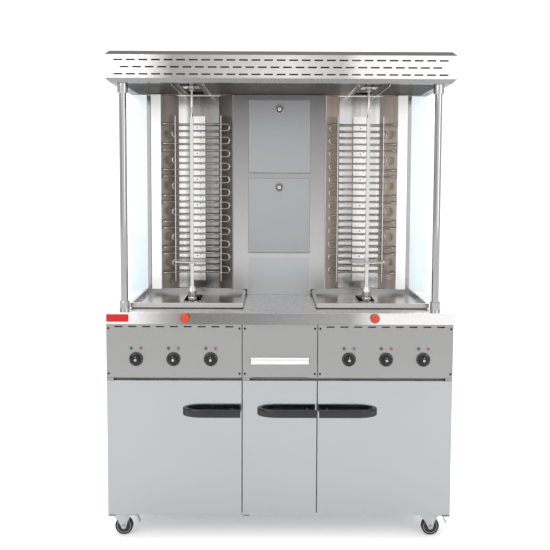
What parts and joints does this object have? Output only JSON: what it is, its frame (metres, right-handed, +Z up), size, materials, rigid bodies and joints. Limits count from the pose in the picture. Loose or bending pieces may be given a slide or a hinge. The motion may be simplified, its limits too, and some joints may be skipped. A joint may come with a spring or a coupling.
{
  "type": "vertical rotisserie broiler",
  "caption": "Double vertical rotisserie broiler: two motor-driven spits before tube heaters under a slotted canopy, on a castered stainless cabinet.",
  "frame": {"origin": "bottom centre of the whole machine, on the floor under its casters", "axes": "+X to the machine's right as seen from the front, +Y to its back, +Z up; the doors face -Y"},
  "size_m": [1.2, 0.58, 1.696],
  "materials": {
    "door_steel": "satin brushed stainless sheet",
    "panel_steel": "fine brushed stainless sheet",
    "side_steel": "brushed stainless sheet",
    "worktop_steel": "brushed stainless sheet",
    "canopy_steel": "brushed stainless sheet",
    "frame_steel": "dull rolled steel",
    "polished_steel": "polished stainless sheet",
    "tube_steel": "polished stainless tube",
    "heater_steel": "heat-toned steel tube",
    "tray_steel": "bright stainless sheet",
    "machined_steel": "turned steel",
    "motor_paint": "dark grey paint",
    "tinted_glass": "clear, faint blue",
    "black_grip": "gloss black",
    "black_knob": "satin black",
    "red_button": "gloss red",
    "lamp_lens": "coloured lens",
    "red_plate": "blank red plate",
    "black_screw": "blackened steel",
    "control_case": "moulded",
    "gland_plastic": "moulded",
    "zinc": "zinc plated",
    "wheel_rubber": "black tread, grey hub"
  },
  "bodies": {
    "cabinet": {"base_pan": "side_steel", "cable_gland": "gland_plastic", "canopy_ceiling": "side_steel", "canopy_posts": "tube_steel", "canopy_shell": "canopy_steel", "caster_plates": "zinc", "centre_column": "panel_steel", "controls": "control_case", "corner_glass": "tinted_glass", "door_hinges": "frame_steel", "drip_trays": "tray_steel", "front_frame": "frame_steel", "front_panels": "panel_steel", "heater_elements": "heater_steel", "heater_racks": "polished_steel", "inner_panels": "side_steel", "motor_rails": "frame_steel", "name_plate": "red_plate", "outer_panels": "side_steel", "panel_screws": "black_screw", "pilot_lamps": "lamp_lens", "reflectors": "polished_steel", "worktop": "worktop_steel"},
    "left_door": {"left_door": "door_steel", "left_handle": "black_grip"},
    "middle_door": {"middle_door": "door_steel", "middle_handle": "black_grip"},
    "right_door": {"right_door": "door_steel", "right_handle": "black_grip"},
    "upper_hatch": {"upper_hatch": "door_steel"},
    "lower_hatch": {"lower_hatch": "door_steel"},
    "upper_lock": {"upper_lock": "polished_steel"},
    "lower_lock": {"lower_lock": "polished_steel"},
    "left_button": {"left_button": "red_button"},
    "right_button": {"right_button": "red_button"},
    "left_spit": {"left_spit": "machined_steel", "left_drive_socket": "machined_steel"},
    "right_spit": {"right_spit": "machined_steel", "right_drive_socket": "machined_steel"},
    "left_carriage": {"left_gear_motor": "motor_paint"},
    "right_carriage": {"right_gear_motor": "motor_paint"},
    "left_top_bearing": {"left_top_bearing": "machined_steel"},
    "right_top_bearing": {"right_top_bearing": "machined_steel"},
    "grease_drawer": {"grease_drawer": "panel_steel"},
    "pedal_front_left": {"pedal_front_left": "zinc"},
    "pedal_front_right": {"pedal_front_right": "zinc"},
    "left_knob_outer": {"left_knob_outer": "black_knob"},
    "left_knob_centre": {"left_knob_centre": "black_knob"},
    "left_knob_inner": {"left_knob_inner": "black_knob"},
    "right_knob_outer": {"right_knob_outer": "black_knob"},
    "right_knob_centre": {"right_knob_centre": "black_knob"},
    "right_knob_inner": {"right_knob_inner": "black_knob"},
    "fork_front_left": {"fork_front_left": "zinc"},
    "wheel_front_left": {"wheel_front_left": "wheel_rubber"},
    "fork_front_right": {"fork_front_right": "zinc"},
    "wheel_front_right": {"wheel_front_right": "wheel_rubber"},
    "fork_rear_left": {"fork_rear_left": "zinc"},
    "wheel_rear_left": {"wheel_rear_left": "wheel_rubber"},
    "fork_rear_right": {"fork_rear_right": "zinc"},
    "wheel_rear_right": {"wheel_rear_right": "wheel_rubber"}
  },
  "joints": [
    {"name": "left_door_hinge", "type": "hinge", "parent": "cabinet", "child": "left_door", "pos_m": [-0.594, -0.24, 0.33], "axis": [0, 0, -1], "range_deg": [0, 110]},
    {"name": "middle_door_hinge", "type": "hinge", "parent": "cabinet", "child": "middle_door", "pos_m": [-0.1245, -0.24, 0.33], "axis": [0, 0, -1], "range_deg": [0, 80]},
    {"name": "right_door_hinge", "type": "hinge", "parent": "cabinet", "child": "right_door", "pos_m": [0.594, -0.24, 0.33], "axis": [0, 0, 1], "range_deg": [0, 110]},
    {"name": "upper_hatch_hinge", "type": "hinge", "parent": "cabinet", "child": "upper_hatch", "pos_m": [0, 0.2005, 1.293], "axis": [1, 0, 0], "range_deg": [0, 90]},
    {"name": "upper_lock_turn", "type": "hinge", "parent": "upper_hatch", "child": "upper_lock", "pos_m": [0, 0.198, 1.534], "axis": [0, -1, 0], "range_deg": [0, 90]},
    {"name": "lower_hatch_hinge", "type": "hinge", "parent": "cabinet", "child": "lower_hatch", "pos_m": [0, 0.2005, 0.979], "axis": [1, 0, 0], "range_deg": [0, 90]},
    {"name": "lower_lock_turn", "type": "hinge", "parent": "lower_hatch", "child": "lower_lock", "pos_m": [0, 0.198, 1.231], "axis": [0, -1, 0], "range_deg": [0, 90]},
    {"name": "left_knob_outer_turn", "type": "hinge", "parent": "cabinet", "child": "left_knob_outer", "pos_m": [-0.4955, -0.244, 0.645], "axis": [0, 1, 0], "range_deg": [0, 270]},
    {"name": "left_knob_centre_turn", "type": "hinge", "parent": "cabinet", "child": "left_knob_centre", "pos_m": [-0.367, -0.244, 0.645], "axis": [0, 1, 0], "range_deg": [0, 270]},
    {"name": "left_knob_inner_turn", "type": "hinge", "parent": "cabinet", "child": "left_knob_inner", "pos_m": [-0.2385, -0.244, 0.645], "axis": [0, 1, 0], "range_deg": [0, 270]},
    {"name": "right_knob_inner_turn", "type": "hinge", "parent": "cabinet", "child": "right_knob_inner", "pos_m": [0.2385, -0.244, 0.645], "axis": [0, 1, 0], "range_deg": [0, 270]},
    {"name": "right_knob_centre_turn", "type": "hinge", "parent": "cabinet", "child": "right_knob_centre", "pos_m": [0.367, -0.244, 0.645], "axis": [0, 1, 0], "range_deg": [0, 270]},
    {"name": "right_knob_outer_turn", "type": "hinge", "parent": "cabinet", "child": "right_knob_outer", "pos_m": [0.4955, -0.244, 0.645], "axis": [0, 1, 0], "range_deg": [0, 270]},
    {"name": "left_button_push", "type": "slide", "parent": "cabinet", "child": "left_button", "axis": [0, 1, 0], "range_m": [0, 0.003], "stiffness_N_per_m": 600, "springref_m": -0.001},
    {"name": "left_carriage_slide", "type": "slide", "parent": "cabinet", "child": "left_carriage", "axis": [0, 1, 0], "range_m": [0, 0.11]},
    {"name": "left_spit_spin", "type": "hinge", "parent": "left_carriage", "child": "left_spit", "pos_m": [-0.322, -0.018, 0.9], "axis": [0, 0, 1], "continuous": true},
    {"name": "left_top_bearing_slide", "type": "slide", "parent": "cabinet", "child": "left_top_bearing", "axis": [0, 1, 0], "range_m": [0, 0.11]},
    {"name": "right_button_push", "type": "slide", "parent": "cabinet", "child": "right_button", "axis": [0, 1, 0], "range_m": [0, 0.003], "stiffness_N_per_m": 600, "springref_m": -0.001},
    {"name": "right_carriage_slide", "type": "slide", "parent": "cabinet", "child": "right_carriage", "axis": [0, 1, 0], "range_m": [0, 0.11]},
    {"name": "right_spit_spin", "type": "hinge", "parent": "right_carriage", "child": "right_spit", "pos_m": [0.322, -0.018, 0.9], "axis": [0, 0, 1], "continuous": true},
    {"name": "right_top_bearing_slide", "type": "slide", "parent": "cabinet", "child": "right_top_bearing", "axis": [0, 1, 0], "range_m": [0, 0.11]},
    {"name": "grease_drawer_slide", "type": "slide", "parent": "cabinet", "child": "grease_drawer", "axis": [0, -1, 0], "range_m": [0, 0.3]},
    {"name": "swivel_front_left", "type": "hinge", "parent": "cabinet", "child": "fork_front_left", "pos_m": [-0.546, -0.186, 0.08], "axis": [0, 0, 1], "continuous": true},
    {"name": "roll_front_left", "type": "hinge", "parent": "fork_front_left", "child": "wheel_front_left", "pos_m": [-0.552, -0.186, 0.0315], "axis": [0, 1, 0], "continuous": true},
    {"name": "swivel_front_right", "type": "hinge", "parent": "cabinet", "child": "fork_front_right", "pos_m": [0.546, -0.186, 0.08], "axis": [0, 0, 1], "continuous": true},
    {"name": "roll_front_right", "type": "hinge", "parent": "fork_front_right", "child": "wheel_front_right", "pos_m": [0.54, -0.186, 0.0315], "axis": [0, 1, 0], "continuous": true},
    {"name": "swivel_rear_left", "type": "hinge", "parent": "cabinet", "child": "fork_rear_left", "pos_m": [-0.546, 0.21, 0.08], "axis": [0, 0, 1], "continuous": true},
    {"name": "roll_rear_left", "type": "hinge", "parent": "fork_rear_left", "child": "wheel_rear_left", "pos_m": [-0.552, 0.21, 0.0315], "axis": [0, 1, 0], "continuous": true},
    {"name": "swivel_rear_right", "type": "hinge", "parent": "cabinet", "child": "fork_rear_right", "pos_m": [0.546, 0.21, 0.08], "axis": [0, 0, 1], "continuous": true},
    {"name": "roll_rear_right", "type": "hinge", "parent": "fork_rear_right", "child": "wheel_rear_right", "pos_m": [0.54, 0.21, 0.0315], "axis": [0, 1, 0], "continuous": true},
    {"name": "pedal_front_left_press", "type": "hinge", "parent": "fork_front_left", "child": "pedal_front_left", "pos_m": [-0.542, -0.186, 0.068], "axis": [0, 1, 0], "range_deg": [0, 15]},
    {"name": "pedal_front_right_press", "type": "hinge", "parent": "fork_front_right", "child": "pedal_front_right", "pos_m": [0.55, -0.186, 0.068], "axis": [0, 1, 0], "range_deg": [0, 15]}
  ],
  "couplings": [
    {"joint": "left_top_bearing_slide", "follows": "left_carriage_slide", "ratio": 1},
    {"joint": "right_top_bearing_slide", "follows": "right_carriage_slide", "ratio": 1}
  ]
}
